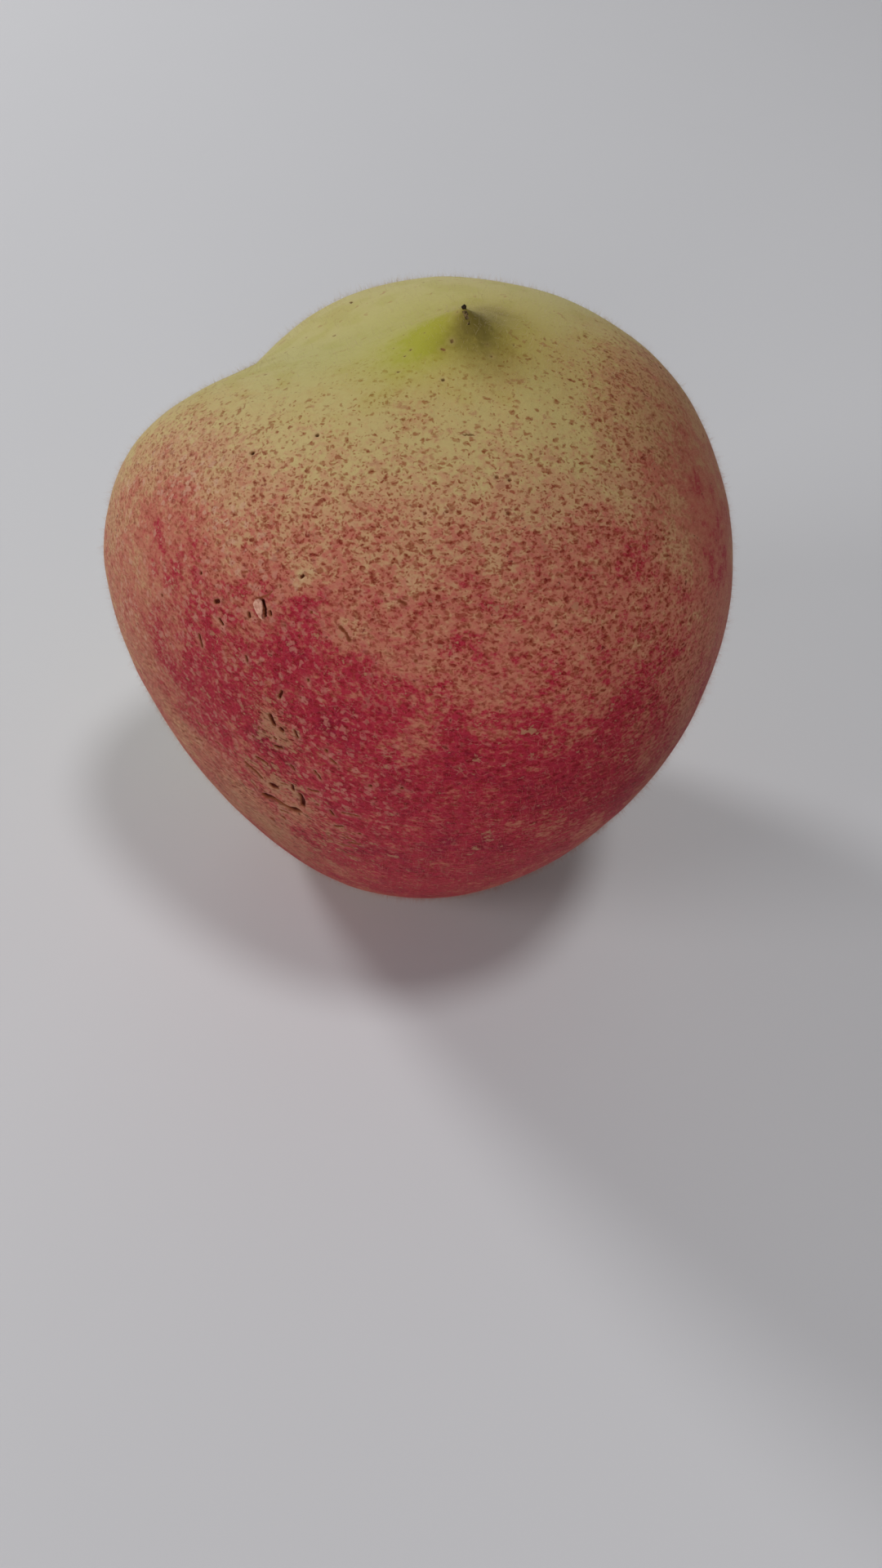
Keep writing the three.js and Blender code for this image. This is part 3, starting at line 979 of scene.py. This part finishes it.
def make_fuzz(name, seed, turn, length, spread, colours):
    """A coat of needles, one for each triangle kept of a fine ball turned by its own angle."""
    bm = bmesh.new()
    spin = Matrix.Rotation(turn, 4, SPIN_AXIS)
    bmesh.ops.create_icosphere(bm, subdivisions=7, radius=1.0, matrix=spin)
    keep = np.random.default_rng(seed)
    centres = np.array([f.calc_center_median().normalized()[:] for f in bm.faces])
    low = seated_points(centres)[:, 2] < HAIR_FREE_BAND
    gone = [f for f, is_low in zip(bm.faces, low) if is_low or keep.random() < DROPPED_SHARE]
    bmesh.ops.delete(bm, geom=gone, context="FACES")
    bmesh.ops.split_edges(bm, edges=bm.edges)
    redness = bm.verts.layers.float.new("blush")
    tips = bmesh.ops.poke(bm, faces=bm.faces)["verts"]
    roots = [[e.other_vert(tip) for e in tip.link_edges] for tip in tips]
    corners = np.array([[v.co[:] for v in ring] for ring in roots])
    chance = np.random.default_rng(seed + 1)
    mix = chance.dirichlet((1.0, 1.0, 1.0), len(tips))
    middles = (corners * mix[:, :, None]).sum(axis=1)
    middles /= np.linalg.norm(middles, axis=1, keepdims=True)
    places = seated_points(middles) / MILLIMETRE
    outs = outward_at(middles)
    leans = chance.normal(0, spread, (len(tips), 3))
    leans[:, 2] -= DROOP
    ways = outs + leans
    ways /= np.linalg.norm(ways, axis=1, keepdims=True)
    tall = chance.gamma(EVENNESS, length / EVENNESS, len(tips))
    tall = np.clip(tall, SHORTEST_HAIR, LONGEST_HAIR)
    gap = np.array([hollow_tree.find(Vector(p))[2] for p in places])
    tall *= np.clip(gap / SHORTER_BY_A_HOLLOW, LEAST_BY_A_HOLLOW, 1)
    tall[gap < BARE_BY_A_HOLLOW] = STUBBLE
    tall *= np.clip(places[:, 2] / SHORTER_BY_THE_FLOOR, LEAST_BY_THE_FLOOR, 1)
    side = np.cross(ways, [SIDEWAYS])
    side /= np.linalg.norm(side, axis=1, keepdims=True)
    other = np.cross(ways, side)
    polar, azimuth = angles_of(middles)
    redness_under = broad_blush(azimuth, polar)
    brown = fruit_points(directions_at(*BROWN_SIDE))[0]
    from_brown = np.linalg.norm(fruit_points(middles) - brown, axis=1)
    redness_under *= 1 - RED_LOST_THERE * bell(from_brown, BROWN_REACH)
    for number, (tip, ring) in enumerate(zip(tips, roots)):
        tip[redness] = redness_under[number]
        root = places[number] - ROOT_UNDER * outs[number]
        tip.co = Vector(places[number] + tall[number] * ways[number]) * MILLIMETRE
        for corner, vert in enumerate(ring):
            angle = corner * math.tau / 3
            arm = side[number] * math.cos(angle) + other[number] * math.sin(angle)
            vert.co = Vector(root + HAIR_HALF_WIDTH * arm) * MILLIMETRE
            vert[redness] = redness_under[number]
    print(name, "hairs:", len(tips))
    finish_piece(bm, name, colours, smooth=False)


# %% Fuzz
HAIR_COLOUR = (0.62, 0.48, 0.31)
HAIR_OVER_RED = (0.45, 0.19, 0.135)
HAIR_SHADE = 0.85

hair_paint, tree, shader = new_material("fuzz", Roughness=0.7, Specular_IOR_Level=0.2)
shade = add(tree, "ShaderNodeTexNoise", {"Vector": in_millimetres(tree), "Scale": 0.7, "Detail": 1.0})
pale = tinted(tree, shade.outputs[0], tuple(c * HAIR_SHADE for c in HAIR_COLOUR), HAIR_COLOUR)
under = add(tree, "ShaderNodeAttribute", attribute_name="blush").outputs["Fac"]
reddened = tinted(tree, rising(tree, under, 0.1, 0.9), pale, HAIR_OVER_RED)
tree.links.new(reddened, shader.inputs["Base Color"])
# name, seed, turn, usual length in mm, how far the hairs lean apart
make_fuzz("short_fuzz", 5, 0.4, 0.38, 0.45, hair_paint)
make_fuzz("long_fuzz", 9, 1.7, 0.62, 0.75, hair_paint)

# %% [markdown]
# ## The dried tip
# A peach flower leaves its style behind: a black, shrunken stub on the point of the beak, with
# a strip of dry skin torn down beside it. The stub is less than half a millimetre across, but
# the eye looks there first. A cone makes it, its end inset and pushed in to a small dark
# crater, and a narrow grid laid down the slope makes the strip.

# %% A place on the skin
def frame_on_skin(round_, down_, turn=0.0):
    """A matrix at the skin: Z points out of it, Y up towards the beak, then swung by turn."""
    direction = directions_at([round_], [down_])
    place, *_ = skin_surface.find_nearest(Vector(seated_points(direction)[0]))
    out = Vector(outward_at(direction)[0])
    axes = out.to_track_quat("Z", "Y").to_matrix().to_4x4()
    swung = Matrix.Rotation(math.radians(turn), 4, "Z")
    return Matrix.Translation(place) @ axes @ swung @ Matrix.Scale(MILLIMETRE, 4)


def roughen(bm, length, height, seed):
    """Push every point about a little, by smooth noise, in the bmesh's own units."""
    # Vector noise takes its seed from the clock unless it is given one.
    noise.seed_set(seed)
    shift = Vector((seed * 3.1, seed * 1.7, seed * 2.3))
    for vert in bm.verts:
        vert.co += height * noise.noise_vector(vert.co / length + shift)


# %% Dry brown paint for the tip, the flake and the scar
def dry_material(name, dark, pale, scale, low, high):
    """Matt paint that runs from dark to pale by a fine noise."""
    material, tree, shader = new_material(name, Roughness=0.85, Specular_IOR_Level=0.15)
    sockets = {"Vector": in_millimetres(tree), "Scale": scale, "Detail": 4.0, "Roughness": 0.6}
    grit = add(tree, "ShaderNodeTexNoise", sockets).outputs[0]
    tree.links.new(tinted(tree, rising(tree, grit, low, high), dark, pale), shader.inputs["Base Color"])
    bump = add(tree, "ShaderNodeBump", {"Height": grit, "Strength": 0.5, "Distance": 0.00006})
    tree.links.new(bump.outputs[0], shader.inputs["Normal"])
    return material


# %% Dried tip
STUB_RADIUS = 0.13
STUB_FLARE = 1.5
STUB_HEIGHT = 0.26
STUB_OFF_CENTRE = (0.03, -0.03, 0.0)
# how far in each step goes, as a share of the radius, and how far up in mm
CRATER_STEPS = [(0.30, 0.05), (0.15, -0.25)]

bm = bmesh.new()
flared = STUB_RADIUS * STUB_FLARE
sizes = {"radius1": flared, "radius2": STUB_RADIUS, "depth": STUB_HEIGHT}
bmesh.ops.create_cone(bm, cap_ends=True, segments=14, **sizes)
top = [f for f in bm.faces if f.normal.z > 0.9]
for share, depth in CRATER_STEPS:
    bmesh.ops.inset_region(bm, faces=top, thickness=STUB_RADIUS * share, depth=depth)
bmesh.ops.subdivide_edges(bm, edges=bm.edges, cuts=1, use_grid_fill=True)
roughen(bm, 0.16, 0.08, 2)
at_tip = frame_on_skin(0, 0.05) @ Matrix.Translation(STUB_OFF_CENTRE)
bmesh.ops.transform(bm, matrix=at_tip, verts=bm.verts)
tip_paint = dry_material("dried style", (0.018, 0.010, 0.006), (0.16, 0.095, 0.045), 5.0, 0.50, 0.72)
finish_piece(bm, "dried_tip", tip_paint)

# %% Dry strip beside the tip
STRIP_HALF_WIDTH = 0.19
STRIP_HALF_LENGTH = 0.60
STRIP_THICKNESS = 0.05
STRIP_TAPER = 0.55
STRIP_GAP = 0.02

bm = bmesh.new()
bmesh.ops.create_grid(bm, x_segments=3, y_segments=14, size=1.0)
for vert in bm.verts:
    taper = 1.0 - STRIP_TAPER * (0.5 - 0.5 * vert.co.y)
    vert.co.x *= STRIP_HALF_WIDTH * taper
    vert.co.y *= STRIP_HALF_LENGTH
roughen(bm, 0.2, 0.05, 5)
bmesh.ops.solidify(bm, geom=bm.faces[:], thickness=STRIP_THICKNESS)
strip_place = frame_on_skin(292, 1.4)
for vert in bm.verts:
    lift = vert.co.z
    flat = strip_place @ Vector((vert.co.x, vert.co.y, 0))
    place, out, *_ = skin_surface.find_nearest(flat)
    vert.co = place + out * (lift + STRIP_GAP) * MILLIMETRE
strip_paint = dry_material("dry strip", (0.045, 0.025, 0.010), (0.27, 0.18, 0.075), 6.0, 0.42, 0.66)
finish_piece(bm, "dry_strip", strip_paint)

# %% [markdown]
# ## The loose flake
# On the left flank a chip of dead skin has lifted. It is one many-sided face given a thickness by
# extruding, dished a little and tilted, so that its right side stands off the fruit over the
# dark crack that was pressed in there. The dark of that crack is partly painted shadow of the flake.

# %% Skin flake
FLAKE_OUTLINE = [
    (-0.42, 0.58), (-0.12, 0.72), (0.22, 0.62), (0.34, 0.10), (0.30, -0.40),
    (0.42, -0.72), (0.16, -0.66), (-0.12, -0.42), (-0.40, -0.12), (-0.54, 0.26),
]
FLAKE_THICKNESS = 0.10
FLAKE_LIFT = 0.16
FLAKE_LEFT_EDGE = 0.55
FLAKE_GAP = 0.05
FLAKE_DISH = 0.05

bm = bmesh.new()
rim = [bm.verts.new((x, y, 0)) for x, y in reversed(FLAKE_OUTLINE)]
face = bm.faces.new(rim)
grown = bmesh.ops.extrude_face_region(bm, geom=[face])["geom"]
raised = [g for g in grown if isinstance(g, bmesh.types.BMVert)]
bmesh.ops.translate(bm, vec=(0, 0, FLAKE_THICKNESS), verts=raised)
bmesh.ops.triangulate(bm, faces=bm.faces)
bmesh.ops.subdivide_edges(bm, edges=bm.edges, cuts=3)
for vert in bm.verts:
    lift = FLAKE_LIFT * (vert.co.x + FLAKE_LEFT_EDGE) ** 2 * 0.5
    vert.co.z += FLAKE_GAP + lift + FLAKE_DISH * vert.co.y**2
roughen(bm, 0.25, 0.045, 3)
flake_place = frame_on_skin(240.55, 58.0, 12)
beside_crack = frame_on_skin(239.4, 58.0).translation - flake_place.translation
rise = beside_crack.dot(flake_place.col[2].to_3d().normalized()) / MILLIMETRE
print("flake rests", round(rise, 2), "mm above the crack's slope")
bmesh.ops.transform(bm, matrix=flake_place @ Matrix.Translation((0, 0, rise)), verts=bm.verts)
flake_paint = dry_material("dead skin", (0.46, 0.20, 0.14), (0.68, 0.37, 0.27), 4.0, 0.35, 0.60)
finish_piece(bm, "skin_flake", flake_paint, smooth=False)

# %% [markdown]
# ## The stalk scar
# Underneath, at the bottom of the cavity, the stalk has pulled away and left a corky brown
# ring round a torn pit. It starts as a low cone sunk into the skin. Its end face is inset four
# times, up for the ring and down for the pit, and noise breaks the edges.

# %% Stalk scar
SCAR_RADIUS = 2.4
SCAR_TAPER = 0.92
SCAR_SUNK = 0.35
# how far in each step goes, and how far up
SCAR_STEPS = [(0.30, 0.22), (0.30, -0.02), (0.45, -0.45), (0.55, -0.20)]

bm = bmesh.new()
sizes = {"radius1": SCAR_RADIUS, "radius2": SCAR_RADIUS * SCAR_TAPER, "depth": 1.0}
bmesh.ops.create_cone(bm, cap_ends=True, segments=48, **sizes)
end = [f for f in bm.faces if f.normal.z > 0.9]
for thickness, depth in SCAR_STEPS:
    bmesh.ops.inset_region(bm, faces=end, thickness=thickness, depth=depth)
bmesh.ops.poke(bm, faces=end, offset=0.1)
roughen(bm, 0.9, 0.22, 7)
roughen(bm, 0.3, 0.08, 8)
at_stalk = frame_on_skin(0, 179.9) @ Matrix.Translation((0, 0, -SCAR_SUNK))
bmesh.ops.transform(bm, matrix=at_stalk, verts=bm.verts)
scar_paint = dry_material("stalk scar", (0.10, 0.055, 0.025), (0.36, 0.24, 0.13), 1.6, 0.35, 0.65)
finish_piece(bm, "stalk_scar", scar_paint)
